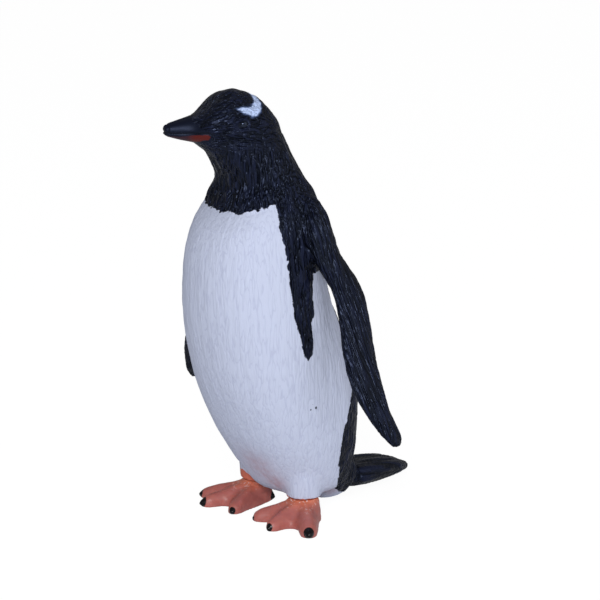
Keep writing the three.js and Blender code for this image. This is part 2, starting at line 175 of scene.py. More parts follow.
def split_in_four(points, quads, values):
    """Every face cut into four through its middle, with the values of the points carried over."""
    sides = np.vstack([quads[:, [i, (i + 1) % 4]] for i in range(4)])
    key = np.sort(sides, axis=1)
    ends, edge_of_side = np.unique(key[:, 0] * len(points) + key[:, 1], return_inverse=True)
    ends = np.stack(np.divmod(ends, len(points)), axis=1)
    edge_of_side = len(points) + edge_of_side.reshape(4, len(quads))
    hub = len(points) + len(ends) + np.arange(len(quads))
    cut = np.vstack([
        np.stack([quads[:, i], edge_of_side[i], hub, edge_of_side[i - 1]], axis=1) for i in range(4)
    ])
    return (
        np.vstack([points, points[ends].mean(axis=1), points[quads].mean(axis=1)]),
        cut,
        np.vstack([values, values[ends].mean(axis=1), values[quads].mean(axis=1)]),
    )


def clusters(pairs, count):
    """A number for each of count items, the same for all items that the pairs connect."""
    label = np.arange(count)
    while True:
        low = np.minimum(label[pairs[:, 0]], label[pairs[:, 1]])
        best = label.copy()
        np.minimum.at(best, pairs[:, 0], low)
        np.minimum.at(best, pairs[:, 1], low)
        best = best[best]
        if (best == label).all():
            return label
        label = best


def outer_skin(points, quads):
    """Only the largest closed skin: the walls of the glued sockets inside are left out."""
    _, faces, _ = edges_of(quads)
    label = clusters(faces, len(quads))
    quads = quads[label == np.bincount(label).argmax()]
    used, flat = np.unique(quads, return_inverse=True)
    return points[used], flat.reshape(-1, 4)


def normals_of(points, quads):
    """Smooth normals at the points."""
    across = points[quads[:, 2]] - points[quads[:, 0]]
    along = points[quads[:, 3]] - points[quads[:, 1]]
    area_normals = np.cross(across, along)
    normals = np.stack([
        sum(np.bincount(quads[:, i], area_normals[:, axis], len(points)) for i in range(4))
        for axis in range(3)
    ], axis=1)
    return normals / (np.linalg.norm(normals, axis=1)[:, None] + 1e-12)


def amid_neighbours(points, edges):
    """The middle of each point's neighbours."""
    a, b = edges.T
    valence = np.bincount(edges.ravel(), minlength=len(points))[:, None]
    total = np.stack([
        np.bincount(a, points[b, axis], len(points)) + np.bincount(b, points[a, axis], len(points))
        for axis in range(3)
    ], axis=1)
    return total / valence


def relaxed(points, edges, rounds):
    """The points drawn towards their neighbours and back out again, which evens out the facets
    and keeps the size."""
    for pull in [0.5, -0.52] * rounds:
        points = points + pull * (amid_neighbours(points, edges) - points)
    return points


def softened(points, edges, rounds, share):
    """The points drawn towards their neighbours only, which fills creases."""
    for _ in range(rounds):
        points = points + 0.5 * share[:, None] * (amid_neighbours(points, edges) - points)
    return points


def ramp(value, low, high):
    """0 below low, 1 above high and smooth between them."""
    t = np.clip((value - low) / (high - low), 0, 1)
    return t * t * (3 - 2 * t)


def near(points, place, reach):
    """1 at a place and fading out over the reach."""
    return np.exp(-(np.linalg.norm(points - np.array(place), axis=1) / reach) ** 2)


head_middle = np.array([0.0, -10.95, 67.97])  # the middle of the neck seat
head_turn = math.radians(20)
head_forward = np.array([-math.sin(head_turn), -math.cos(head_turn), 0.0])
head_left = np.array([math.cos(head_turn), -math.sin(head_turn), 0.0])
eye_inset = 0.35  # sinks the beads' stand-ins, which close the eye sockets in the skin
eye_fill = joint_fill + 0.12

parts = [welded(name, joint_fill) for name in skin_names]
parts.append(welded("eye_left", eye_fill, -eye_inset * head_left))
parts.append(welded("eye_right", eye_fill, eye_inset * head_left))
skin, skin_quads = remeshed("skin", parts, coarse_step)
skin = skin - normals_of(skin, skin_quads) * joint_fill
skin_edges, _, _ = edges_of(skin_quads)

# Filler rounds the creases: at the nape, over the vent and on both sides. Each has its place on
# the left and its reach. The hems low on the legs stay sharp.
stance_half = 8.1
ankle_back = -5.07
side_creases = [
    ((stance_half, ankle_back, 10.5), 4.5),  # top of the leg
    ((13.5, -4.0, 57.0), 5.0),  # armpit
    ((8.5, -1.5, 66.5), 5.0),  # nape over the shoulder
    ((12.8, -7.8, 62.0), 4.5),  # front of the shoulder
    ((6.5, 4.0, 5.0), 5.5),  # between the leg and the vent
]
creases = near(skin, (0.0, 0.0, 69.0), 6.0) + 0.8 * near(skin, (0.0, 11.0, 6.0), 3.0)
for side in (1, -1):
    for place, crease_reach in side_creases:
        creases = creases + near(skin, np.array(place) * [side, 1, 1], crease_reach)
lower_behind = 5.0 * ramp(skin[:, 1], -1.0, 1.0)
creases = np.clip(creases, 0, 1) * ramp(skin[:, 2] + lower_behind, 6.0, 7.5)
skin = relaxed(skin, skin_edges, smoothing_rounds)
skin = softened(skin, skin_edges, filler_rounds, creases)

# Fullness in mm where the filler lies thick, and hollows behind the flippers
swell = 0.8 * near(skin, (-5.5, -17.7, 71.0), 3.6)  # the throat over the breast
swell = swell + 0.45 * near(skin, (-7.5, -17.9, 68.2), 2.6)  # the lip of the hood
for side in (1, -1):
    hollow = (skin - [side * 11.0, 1.0, 44.0]) / [5.0, 4.5, 8.0]
    swell = swell - 0.8 * np.exp(-(hollow ** 2).sum(axis=1))
    swell = swell + 0.6 * near(skin, (side * 8.0, -2.0, 68.0), 3.5)  # the side of the nape
skin = skin + normals_of(skin, skin_quads) * swell[:, None]

# Which casting each point belongs to, by its distance to the castings. One casting's marks give
# way to the next one's over a short spread.
joint_spread = 0.9
carriers = [BVHTree.FromPolygons(*(part.tolist() for part in welded(n, 0.0))) for n in skin_names]
away = np.array([[tree.find_nearest(p)[3] for tree in carriers] for p in skin.tolist()])
skin, skin_quads, away = split_in_four(skin, skin_quads, away)
skin_edges, beside, edge_sides = edges_of(skin_quads)
skin = relaxed(skin, skin_edges, 3)
away = away.T
of_casting = np.exp(-(away / joint_spread))
of_casting /= of_casting.sum(axis=0)
skin_normals = normals_of(skin, skin_quads)

# The sculptor's marks: noise drawn out along the feathers. A table of random numbers, repeated
# every 64 grains, gives the same marks each time.
grain_cells = 64
grain_table = np.random.default_rng(5).uniform(-1, 1, (grain_cells,) * 3).astype(np.float32)


def grain(points, size):
    """Smooth random values between -1 and 1, with spots of the given size in mm."""
    place = (points / size).astype(np.float32)
    cell = np.floor(place).astype(np.int64)
    part = place - cell
    part = part * part * (3 - 2 * part)
    total = 0.0
    for corner in itertools.product((0, 1), repeat=3):
        weight = np.prod(np.where(np.array(corner), part, 1 - part), axis=1)
        total = total + weight * grain_table[tuple(((cell + corner) & (grain_cells - 1)).T)]
    return total


def strokes(points, flow, width, length):
    """Marks of a width and length in mm that follow the flow, with a spread of 1."""
    steps = np.linspace(-0.5, 0.5, 13)  # close enough together to leave no beads in a mark
    drawn = sum(grain(points + flow * (length * step)[:, None], width) for step in steps)
    return drawn / drawn.std()


def along_skin(direction):
    """The direction laid into the skin, with length 1."""
    direction = np.broadcast_to(direction, skin.shape)
    flat = direction - skin_normals * (direction * skin_normals).sum(axis=1)[:, None]
    return flat / (np.linalg.norm(flat, axis=1)[:, None] + 1e-6)


def off_line(line, across, up):
    """The distance in mm from a line of points in a side view."""
    corners = np.array(line, float)
    spot = np.stack([across, up], axis=1)
    nearest = np.full(len(spot), np.inf)
    for start, end in zip(corners[:-1], corners[1:]):
        edge = end - start
        along = np.clip(((spot - start) @ edge) / (edge @ edge), 0, 1)
        nearest = np.minimum(nearest, np.linalg.norm(spot - start - along[:, None] * edge, axis=1))
    return nearest


def inside(outline, across, up):
    """The distance in mm inside an outline in a side view, negative outside it."""
    closed = outline + outline[:1]
    crossed = np.zeros(len(across), bool)
    for (start_across, start_up), (end_across, end_up) in zip(closed[:-1], closed[1:]):
        rises = (start_up > up) != (end_up > up)
        slope = (end_across - start_across) / ((end_up - start_up) or 1e-9)
        crossed ^= rises & (across < start_across + (up - start_up) * slope)
    nearest = off_line(closed, across, up)
    return np.where(crossed, nearest, -nearest)


# Torso: the largest casting, of solid PVC, brushed white with a black back and flanks. The white
# breast has long shallow feather lines, and the black feathers are cut deeper. The outline of the
# black paint is the same on both flanks, in the side view: back of the middle and height.
black_outline = [
    (-40.0, 60.2), (-19.5, 64.4), (-17.6, 64.8), (-15.9, 65.5), (-14.5, 66.1), (-13.5, 66.3),
    (-14.1, 61.6), (-13.5, 55.9), (-13.1, 51.0), (-12.6, 44.8), (-11.6, 40.5), (-10.8, 36.6),
    (-9.8, 35.4), (-8.9, 36.7), (-8.2, 39.1), (-8.6, 42.4), (-7.8, 44.6), (-7.9, 47.4),
    (-7.2, 52.2), (-4.6, 52.6), (-1.6, 50.8), (0.8, 47.6), (2.4, 44.0), (3.2, 39.0), (3.5, 34.0),
    (3.3, 30.0), (2.8, 27.2), (1.2, 23.1), (-0.5, 18.0), (-0.4, 12.1), (0.6, 7.3), (2.6, 5.0),
    (7.0, 2.6), (12.0, 1.8), (40.0, 1.8), (40.0, 110.0), (-40.0, 110.0),
]
flecks = [(15.6, -8.7, 26.2), (15.6, -8.0, 25.4), (15.4, -9.1, 25.2)]  # stray touches of the brush
fleck_half = 0.16
black_stroke = 3.4  # the length of the marks
white_stroke = 5.0

black_paint = inside(black_outline, skin[:, 1], skin[:, 2])
limbs = np.minimum(np.minimum(away[2], away[3]), away[4])
black_paint = np.maximum(black_paint, away[0] - limbs)
for fleck in flecks:
    black_paint = np.maximum(black_paint, fleck_half - np.linalg.norm(skin - fleck, axis=1))
in_black = ramp(black_paint, -0.15, 0.25)
painted_belly_shade = (  # painted shade, pink from the feet's reflected light, low on the belly and under the vent
    1.2 * near(skin, (2.5, -12.5, 11.0), 4.0)
    + 1.3 * near(skin, (5.0, -9.5, 7.5), 2.2)
    + 1.2 * near(skin, (5.8, 3.8, 3.6), 1.5)
)
flow = along_skin(np.array([0.0, 0.0, -1.0]))
stroke_length = np.where(in_black > 0.5, black_stroke, white_stroke)

# Head: a PVC casting with the neck, pegged and glued into the torso and brushed black, with an
# orange stripe on the bill and a white band over the crown. Short marks run back from the bill.
# The outlines are in the head's side view: forward of the neck seat's middle and above it.
white_band = [
    (5.5, 17.0), (4.5, 17.1), (3.1, 17.05), (2.3, 17.1), (1.6, 17.45), (1.15, 18.0), (1.25, 18.4),
    (1.4, 18.8), (1.6, 21.6), (-0.5, 21.6), (-0.5, 18.5), (-0.4, 17.4), (-0.3, 16.6), (0.1, 15.8),
    (0.85, 15.5), (1.4, 15.2), (2.2, 15.2), (3.0, 15.6), (4.0, 16.0), (4.6, 16.35), (5.2, 16.7),
]
bill_outline = [
    (11.3, 18.0), (11.4, 15.7), (13.2, 15.2), (13.3, 14.3), (12.6, 13.5), (11.8, 12.9), (10.8, 12.3),
    (10.4, 11.7), (10.4, 10.6), (12.0, 10.3), (14.5, 9.0), (25.0, 9.0), (25.0, 18.0),
]
orange_stripe = [
    (18.0, 11.5), (16.4, 11.45), (14.8, 11.55), (13.6, 11.75), (12.3, 11.9), (11.0, 11.95),
    (10.6, 11.6), (10.8, 11.0), (12.0, 10.6), (13.3, 10.2), (14.5, 9.9), (16.1, 9.9), (18.0, 10.6),
]
gape_line = [(18.6, 12.2), (18.0, 12.0), (16.5, 11.95), (14.8, 12.0), (12.3, 12.25), (10.8, 12.2)]
eye_reach = 4.15
eye_rise = 13.95
bill_tip = (18.5, 12.3)
face_shorter = 0.62  # how much shorter the marks of the face are, as a share
far_outside = -5.0  # a distance inside an outline that means well away from it

in_head = skin - head_middle
reach = in_head @ head_forward
aside = in_head @ head_left
rise = in_head[:, 2]
is_head = of_casting[1] * ramp(rise, 3.0, 9.0)
on_head = is_head > 0.5
band_paint = np.where(on_head, inside(white_band, reach, rise), far_outside)
bill_bare = np.where(on_head, inside(bill_outline, reach, rise), far_outside)
stripe_paint = np.where(on_head, inside(orange_stripe, reach, rise), far_outside)
face = is_head * ramp(rise, 6.0, 12.0)
from_bill = skin - (head_middle + bill_tip[0] * head_forward + bill_tip[1] * np.array([0, 0, 1.0]))
flow = along_skin(flow * (1 - face)[:, None] + face[:, None] * along_skin(from_bill))
stroke_length = stroke_length * (1 - face_shorter * face)

# Flippers: two castings, glued on by a peg in each shoulder and painted black on both faces, with
# long narrow marks down to the tip. The marks of the shoulders lean towards them.
flipper_lean = 0.5  # sideways for each mm down
flipper_longer = 2.5  # mm that its marks are longer than those of the back
flipper_hold = of_casting[2] + of_casting[3]
as_left = skin * np.where(skin[:, :1] < 0, [-1, 1, 1], [1, 1, 1])  # the right side folded over
shoulder_hold = np.maximum(flipper_hold, 0.8 * near(as_left, (11.5, -5.0, 60.0), 8.0))
outwards = np.sign(skin[:, :1]) * np.array([[1.0, 0.0, 0.0]])
down_flipper = along_skin(outwards * flipper_lean + np.array([0.0, 0.1, -1.0]))
flow = along_skin(flow * (1 - shoulder_hold)[:, None] + shoulder_hold[:, None] * down_flipper)
stroke_length = stroke_length + flipper_longer * flipper_hold

# Tail: a casting of its own, a stiff wedge of long feathers with a peg in the rump. Its ridges run
# from the vent to its edge.
tail_longer = 9.0
tail_hold = of_casting[4] * ramp(skin[:, 1], 10.0, 14.0)
backwards = along_skin(np.array([0.0, 1.0, 0.0]))
flow = along_skin(flow * (1 - tail_hold)[:, None] + tail_hold[:, None] * backwards)
stroke_length = stroke_length + tail_longer * tail_hold

# Carving: every mark is a narrow groove between rounded ridges, over softer wide ones. The
# sculptor cut the black feathers deep and the white ones hardly at all.
feather_width = 0.5  # of one groove and ridge; the photograph shows them about this far apart
bunch_width = 1.4  # of the softer marks, which gather several feathers
lump_size = 3.5
plume_width = 0.9  # of one long feather of the tail
black_depth = 0.24
white_depth = 0.06
lump_height = 0.04
plume_height = 0.3
lower_neck = (3.0, -18.0, 66.5)  # where the marks are deepest

narrow = strokes(skin, flow, feather_width, stroke_length)
wide = strokes(skin + 40.0, flow, bunch_width, 1.3 * stroke_length)
lumps = grain(skin + 90.0, lump_size)
plumes = grain(skin * [1.0, 0.07, 0.5] + 30.0, plume_width)
carved = black_depth * in_black + white_depth * (1 - in_black)
carved = carved * (1 + 0.4 * near(skin, lower_neck, 9.0))
carved = carved * (1 - 0.35 * face) * (1 - 0.25 * flipper_hold) * (1 - 0.6 * tail_hold)
feathered = 1 - ramp(bill_bare, -0.5, 0.3)
ridges = np.minimum(np.abs(narrow) / 1.4, 1.0) ** 0.7
height = carved * feathered * (ridges - 0.6 + 0.3 * wide)
height = height + lump_height * lumps * feathered + plume_height * tail_hold * plumes

# Finer marks than the mesh can hold are left to the paint: a place on the skin as the paint sees
# it, short along the feathers, so that a round spot there is a long mark here. On the body they
# run down, on a flipper along it, on the tail back and on the face away from the bill.
body_short = 0.13  # how short, as a share of the real length
flipper_short = 0.10
tail_short = 0.06
face_short = 0.15
face_ball = 13.0  # the face's places lie about a ball of this radius round the bill's tip
neck_height = 60.0  # where the body's places keep their height
shoulder = (12.0, -5.0, 60.0)

lean = np.array([flipper_lean, 0.1, -1.0])
lean = lean / np.linalg.norm(lean)
to_side = np.where(skin[:, :1] < 0, [-1, 1, 1], [1, 1, 1])
along_flipper = ((as_left - shoulder) @ lean)[:, None] * lean * to_side
weave_flipper = skin - (1 - flipper_short) * along_flipper
weave = skin * [1, 1, body_short] + [0, 0, (1 - body_short) * neck_height]
weave = weave * (1 - shoulder_hold)[:, None] + shoulder_hold[:, None] * weave_flipper
weave = np.where(tail_hold[:, None] > 0.5, skin * [1.0, tail_short, 0.5], weave)
bill_distance = np.linalg.norm(from_bill, axis=1)[:, None]
spray = from_bill / (bill_distance + 1e-6) * face_ball + from_bill * face_short + [0, 0, 70.0]


# The bill and the eyes: the slit of the gape, the ridge along the top of the bill, the notch
# behind its tip, and a raised lid, longer in front, round each eye's pit.
gape_depth = 0.22
notch_depth = 0.14
culmen_height = 0.12
lid_height = 0.2
pit_depth = 0.12
band_recess = 0.08  # the white band lies a little lower than the black round it

gape = np.exp(-(off_line(gape_line, reach, rise) / 0.22) ** 2) * on_head
culmen = np.exp(-(aside / 0.55) ** 2) * ramp(rise, 12.4, 13.2) * ramp(bill_bare, -0.2, 0.4)
notch = np.exp(-((reach - 17.9) / 0.16) ** 2) * on_head * ramp(rise, 11.8, 12.2)
ahead_of_eye = reach - eye_reach
from_eye = np.hypot(ahead_of_eye, rise - eye_rise)
lid_width = np.where(ahead_of_eye > 0, 1.75, 1.2)
lid_droop = 0.18 * np.maximum(ahead_of_eye, 0)
from_lid = np.hypot(ahead_of_eye / lid_width, rise - eye_rise + lid_droop)
lid = np.exp(-((from_lid - 1.0) / 0.2) ** 2) * on_head
eye_pit = np.exp(-(from_eye / 0.9) ** 4) * on_head
eye_pool = np.exp(-(from_eye / 1.35) ** 4) * on_head * (1 - lid)  # the smooth dark paint round it
height = height * (1 - eye_pit) - gape_depth * gape - notch_depth * notch
height = height + culmen_height * culmen + lid_height * lid - pit_depth * eye_pit
height = height - band_recess * ramp(band_paint, -0.1, 0.3)

carved_skin = skin + skin_normals * height[:, None]

# The feather hem over the ankles: a ragged rim that laps a little over the feet. The right leg
# was set a little further back and inwards than the left one, and its hem rises to the outside.
rim_reach = 0.15
leg_slip = np.array([0.55, 0.7, 0.0])
left_hem = 5.15  # below this height the skin is bare
right_hem = 5.9
right_slant = 0.42  # how far the right hem rises for each mm to the outer front
ankle_half = 4.9  # nothing further from the ankle's middle is bare

from_right = np.hypot(carved_skin[:, 0] + stance_half, carved_skin[:, 1] - ankle_back)
slipping = ramp(6.5 - from_right, 0, 2.0) * ramp(14.0 - carved_skin[:, 2], 0, 6.0)
carved_skin = carved_skin + leg_slip * slipping[:, None]
bare = np.full(len(skin), far_outside)
for side in (1, -1):
    slip = leg_slip if side < 0 else 0 * leg_slip
    beside_ankle = carved_skin[:, 0] - side * stance_half
    behind_ankle = carved_skin[:, 1] - ankle_back
    from_ankle = np.hypot(beside_ankle - slip[0], behind_ankle - slip[1])
    rim = ramp(4.6 - from_ankle, 0, 0.6) * ramp(6.3 - carved_skin[:, 2], 0, 1.2)
    rag = 0.5 + 0.9 * grain(skin * [1, 1, 0] + 7.0, 0.8)
    carved_skin[:, 2] -= rim_reach * rim * rag
    outer_front = beside_ankle * side * 0.6 - behind_ankle * 0.8
    hem = left_hem if side > 0 else right_hem + right_slant * np.clip(outer_front, -2.5, 4.6)
    hem = np.minimum(hem + 0.35 * (rag - 0.5) - carved_skin[:, 2], ankle_half - from_ankle)
    bare = np.where(side * skin[:, 0] > 0, hem, bare)

# Parting: every face goes to the casting that it lies on, by a vote that evens out the joint
# line. A patch cut off from its casting goes to the torso, or from the torso to the head.
casting_of = away[:, skin_quads].mean(axis=2).argmin(axis=0)
for _ in range(8):
    votes = np.stack([
        np.bincount(beside[:, 0], casting_of[beside[:, 1]] == k, len(skin_quads))
        + np.bincount(beside[:, 1], casting_of[beside[:, 0]] == k, len(skin_quads))
        + 1.5 * (casting_of == k)
        for k in range(len(skin_names))
    ])
    casting_of = votes.argmax(axis=0)
for _ in range(2):
    same = beside[casting_of[beside[:, 0]] == casting_of[beside[:, 1]]]
    patch = clusters(same, len(skin_quads))
    sizes = np.bincount(patch, minlength=len(skin_quads))
    for k in range(len(skin_names)):
        mine = casting_of == k
        largest = np.where(mine, sizes[patch], 0).argmax()
        casting_of[mine & (patch != patch[largest])] = 0 if k else 1
skin_normals = normals_of(carved_skin, skin_quads)
cap_depth = 0.04  # how far towards its middle a casting is closed, as a share of the way

# What the paint follows: how far inside each colour's outline a point lies, and its marks
paint_layers = {
    "black": black_paint, "band": band_paint, "stripe": stripe_paint, "bare": bare,
    "bill": bill_bare, "belly_shade": painted_belly_shade, "reach": reach, "face": face, "lid": lid,
    "pool": eye_pool, "height": height, "narrow": narrow, "weave": weave, "spray": spray,
}


def parted(k, name):
    """The k-th casting's part of the skin as an object, closed where it meets its neighbours."""
    mine = casting_of == k
    at_rim = mine[beside].sum(axis=1) == 1
    first_is_mine = mine[beside[at_rim, 0]]
    rim = np.where(first_is_mine[:, None], edge_sides[at_rim, 0], edge_sides[at_rim, 1])
    used, flat = np.unique(skin_quads[mine], return_inverse=True)
    index = np.full(len(skin), -1)
    index[used] = np.arange(len(used))
    points, normals = carved_skin[used], skin_normals[used]
    faces = [tuple(quad) for quad in flat.reshape(-1, 4).tolist()]
    middles = []
    ring = clusters(index[rim], len(used))[index[rim[:, 0]]]
    for number in np.unique(ring):
        edges = index[rim[ring == number]]
        place = points[edges[:, 0]].mean(axis=0)
        hub = len(points) + len(middles)
        middles.append(place + (points.mean(axis=0) - place) * cap_depth)
        faces += [(b, a, hub) for a, b in edges.tolist()]
    whole = mesh_of(name, np.vstack([points, *middles]), faces)
    for label, value in paint_layers.items():
        kind, field = ("FLOAT_VECTOR", "vector") if value.ndim > 1 else ("FLOAT", "value")
        value = np.concatenate([value[used], np.zeros((len(middles), *value.shape[1:]))])
        held = whole.attributes.new(label, kind, "POINT")
        held.data.foreach_set(field, value.astype(np.float32).ravel())
    whole.shade_smooth()
    hub_normals = np.tile([0.0, 0.0, 1.0], (len(middles), 1))
    whole.normals_split_custom_set_from_vertices(np.vstack([normals, hub_normals]).tolist())
    piece = bpy.data.objects.new(name, whole)
    bpy.context.scene.collection.objects.link(piece)
    return piece


# Paint: acrylic brushed over the moulded PVC. It gives a satin sheen, a little uneven where the
# brush
# dragged, and each colour's edge follows the marks below it. Its colour also holds painted light:
# painted highlights on the ridges and on the eye's lid, and painted shade down in the gouges.
paint_white = "#bdc4da"
# the painted shade down in the gouges of the white
groove_shade_white = "#a6acc6"
# the pink-grey of the painted shade and reflected light low on the belly
shade_pink = "#ab929f"
paint_black = "#030409"
# the painted highlight on the ridges of the black
ridge_highlight_black = "#101427"
band_white = "#b6c8ee"
band_edge = "#4a5a80"
stripe_orange = "#521606"
stripe_front = "#321a1f"
bare_ankle = "#c06a55"
cool_gloss = (0.5, 0.62, 1.0, 1.0)  # the blue tone that the black shows in its highlights
edge_bends = 1.1  # mm between the bends of a brushed edge
gouge_width = 0.8  # mm between every second fine gouge, across the feathers
face_gouge_width = 0.7
gouge_depth = 0.22  # mm
shade_spot_size = 1.2  # mm across, the spots of the painted shade low on the belly
polish_patch = 2.5  # mm across, more and less shiny by turns


def linear(colour):
    """An sRGB hex colour as linear values."""
    channels = [int(colour[i:i + 2], 16) / 255 for i in (1, 3, 5)]
    return [c / 12.92 if c <= 0.04045 else ((c + 0.055) / 1.055) ** 2.4 for c in channels] + [1.0]


def add(tree, kind, inputs=None, out=0, **settings):
    """Adds a shader node with its settings, and its inputs as values or links from other nodes.
    Gives the output that is asked for."""
    made = tree.nodes.new(kind)
    for name, value in settings.items():
        setattr(made, name, value)
    for name, value in (inputs or {}).items():
        if isinstance(value, bpy.types.NodeSocket):
            tree.links.new(value, made.inputs[name])
        else:
            made.inputs[name].default_value = value
    return made.outputs[out]


def material(name):
    """A new material, its tree and the surface in it."""
    made = bpy.data.materials.new(name)
    made.use_nodes = True
    return made, made.node_tree, made.node_tree.nodes["Principled BSDF"]


feather_paint, tree, surface = material("satin_paint_on_moulded_pvc")
place = add(tree, "ShaderNodeTexCoord", out="Object")
wobble = add(tree, "ShaderNodeTexNoise", {
    "Vector": place, "Scale": 1 / (edge_bends * MM), "Detail": 3.0}, "Fac")
wobble = add(tree, "ShaderNodeMath", {0: wobble, 1: 0.9, 2: -0.45}, operation="MULTIPLY_ADD")
dragged = add(tree, "ShaderNodeAttribute", out="Fac", attribute_name="narrow")
dragged = add(tree, "ShaderNodeMath", {0: dragged, 1: 0.10, 2: wobble}, operation="MULTIPLY_ADD")


def painted(label, sharpness=9.0, raggedness=1.0, inset=0.5):
    """How far a colour covers: 1 inside its outline and 0 outside, with a brushed edge."""
    within = add(tree, "ShaderNodeAttribute", out="Fac", attribute_name=label)
    ragged = add(tree, "ShaderNodeMath", {
        0: dragged, 1: raggedness, 2: within}, operation="MULTIPLY_ADD")
    return add(tree, "ShaderNodeMath", {
        0: ragged, 1: sharpness, 2: inset}, operation="MULTIPLY_ADD", use_clamp=True)


def gouges(label, width):
    """0 at the bottom of the fine gouges and 1 on the ridges between them."""
    drawn = add(tree, "ShaderNodeAttribute", out="Vector", attribute_name=label)
    above = add(tree, "ShaderNodeTexNoise", {
        "Vector": drawn, "Scale": 1 / width, "Detail": 1.0}, "Fac")
    above = add(tree, "ShaderNodeMath", {0: above, 1: 0.5}, operation="SUBTRACT")
    above = add(tree, "ShaderNodeMath", {0: above}, operation="ABSOLUTE")
    return add(tree, "ShaderNodeMath", {0: above, 1: 7.0}, operation="MULTIPLY", use_clamp=True)


# The fine gouges stop at the bare bill and in the smooth paint round the eye
in_face = add(tree, "ShaderNodeAttribute", out="Fac", attribute_name="face")
fine = add(tree, "ShaderNodeMix", {
    "Factor": in_face, "A": gouges("weave", gouge_width), "B": gouges("spray", face_gouge_width)})
plain_bill = add(tree, "ShaderNodeAttribute", out="Fac", attribute_name="bill")
plain_bill = add(tree, "ShaderNodeMath", {
    0: plain_bill, 1: 3.0, 2: 0.8}, operation="MULTIPLY_ADD", use_clamp=True)
fine = add(tree, "ShaderNodeMix", {"Factor": plain_bill, "A": fine, "B": 0.6})
round_eye = add(tree, "ShaderNodeAttribute", out="Fac", attribute_name="pool")
fine = add(tree, "ShaderNodeMix", {"Factor": round_eye, "A": fine, "B": 0.1})

# White, with painted shade: greyer in the gouges, and pink-grey low on the belly and under the vent,
# where the shade takes the pink of the light reflected from the feet. The two colours of a mix go
# into its sockets 6 and 7, and the mixed colour is its output 2.
# painted shade: the deeper the gouge, the greyer the white
low = add(tree, "ShaderNodeMath", {
    0: fine, 1: -1.6, 2: 0.55}, operation="MULTIPLY_ADD", use_clamp=True)
white = add(tree, "ShaderNodeMix", {
    "Factor": low, 6: linear(paint_white), 7: linear(groove_shade_white)}, 2, data_type="RGBA")
belly_shade = add(tree, "ShaderNodeAttribute", out="Fac", attribute_name="belly_shade")
shade_spots = add(tree, "ShaderNodeTexNoise", {
    "Vector": place, "Scale": 1 / (shade_spot_size * MM), "Detail": 4.0}, "Fac")
shade_spots = add(tree, "ShaderNodeMath", {0: belly_shade, 1: shade_spots}, operation="MULTIPLY", use_clamp=True)
white = add(tree, "ShaderNodeMix", {
    "Factor": shade_spots, 6: white, 7: linear(shade_pink)}, 2, data_type="RGBA")

# Black, with painted highlights: lighter on the ridges, the raised parts and the lid of the eye,
# and darker down in the gouges as painted shade
high = add(tree, "ShaderNodeAttribute", out="Fac", attribute_name="height")
high = add(tree, "ShaderNodeMath", {0: high, 1: 2.0, 2: -0.2}, operation="MULTIPLY_ADD")
high = add(tree, "ShaderNodeMath", {0: fine, 1: high}, operation="ADD")
lid_highlight = add(tree, "ShaderNodeAttribute", out="Fac", attribute_name="lid")
high = add(tree, "ShaderNodeMath", {
    0: lid_highlight, 1: 1.6, 2: high}, operation="MULTIPLY_ADD", use_clamp=True)
black = add(tree, "ShaderNodeMix", {
    "Factor": high, 6: linear(paint_black), 7: linear(ridge_highlight_black)}, 2, data_type="RGBA")
in_paint = painted("black")
coat = add(tree, "ShaderNodeMix", {"Factor": in_paint, 6: white, 7: black}, 2, data_type="RGBA")

# The crown's band, with a thinner edge, the stripe, duller towards the tip, and the bare ankles
coat = add(tree, "ShaderNodeMix", {
    "Factor": painted("band", 3.0, 0.3, 0.8), 6: coat, 7: linear(band_edge)}, 2, data_type="RGBA")
coat = add(tree, "ShaderNodeMix", {
    "Factor": painted("band", 4.5, 0.3, 0.1), 6: coat, 7: linear(band_white)}, 2, data_type="RGBA")
forward = add(tree, "ShaderNodeAttribute", out="Fac", attribute_name="reach")
forward = add(tree, "ShaderNodeMath", {
    0: forward, 1: 0.7, 2: -9.2}, operation="MULTIPLY_ADD", use_clamp=True)
stripe = add(tree, "ShaderNodeMix", {
    "Factor": forward, 6: linear(stripe_orange), 7: linear(stripe_front)}, 2, data_type="RGBA")
coat = add(tree, "ShaderNodeMix", {
    "Factor": painted("stripe", 5.0, 0.3), 6: coat, 7: stripe}, 2, data_type="RGBA")
coat = add(tree, "ShaderNodeMix", {
    "Factor": painted("bare", 8.0, 0.3), 6: coat, 7: linear(bare_ankle)}, 2, data_type="RGBA")
tree.links.new(coat, surface.inputs["Base Color"])

# The white is flatter than the black, and the gouges in it are shallower
sheen = add(tree, "ShaderNodeTexNoise", {
    "Vector": place, "Scale": 1 / (polish_patch * MM), "Detail": 2.0}, "Fac")
sheen = add(tree, "ShaderNodeMath", {0: sheen, 1: 0.12, 2: 0.26}, operation="MULTIPLY_ADD")
sheen = add(tree, "ShaderNodeMath", {0: plain_bill, 1: 0.12, 2: sheen}, operation="MULTIPLY_ADD")
sheen = add(tree, "ShaderNodeMix", {"Factor": in_paint, "A": 0.6, "B": sheen})
tree.links.new(sheen, surface.inputs["Roughness"])
cut = add(tree, "ShaderNodeMix", {"Factor": in_paint, "A": 0.22, "B": 1.0})
cut = add(tree, "ShaderNodeBump", {"Strength": cut, "Distance": gouge_depth * MM, "Height": fine})
tree.links.new(cut, surface.inputs["Normal"])
surface.inputs["IOR"].default_value = 1.48
surface.inputs["Specular IOR Level"].default_value = 0.26
surface.inputs["Specular Tint"].default_value = cool_gloss

for k, name in enumerate(skin_names):
    piece = parted(k, name + "_casting")
    piece.data.materials.append(feather_paint)
    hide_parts(name)
    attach(piece, "root")

# Eyes: beads of black acrylic, polished like glass and pressed into the sockets of the face. They
# give the one small sharp highlight of the head.
bead_black = "#040508"
bead_smoke = "#08090d"
bead_radius = 0.86
bead_dome = 0.62  # from the bead's rim to its top
bead_back = 1.2  # from its rim to its back, inside the socket
back_share = 0.25  # the width of the back, as a share of the rim's
bead_drop = 0.25  # below the middle of the socket
socket_depth = 0.78  # from the face to the middle of the socket
bead_sunk = 0.42  # from the face to the rim
bead_turns = 32
bead_rings = 12
haze_patch = 0.8  # mm across, a breath duller
smoke_patch = 0.5

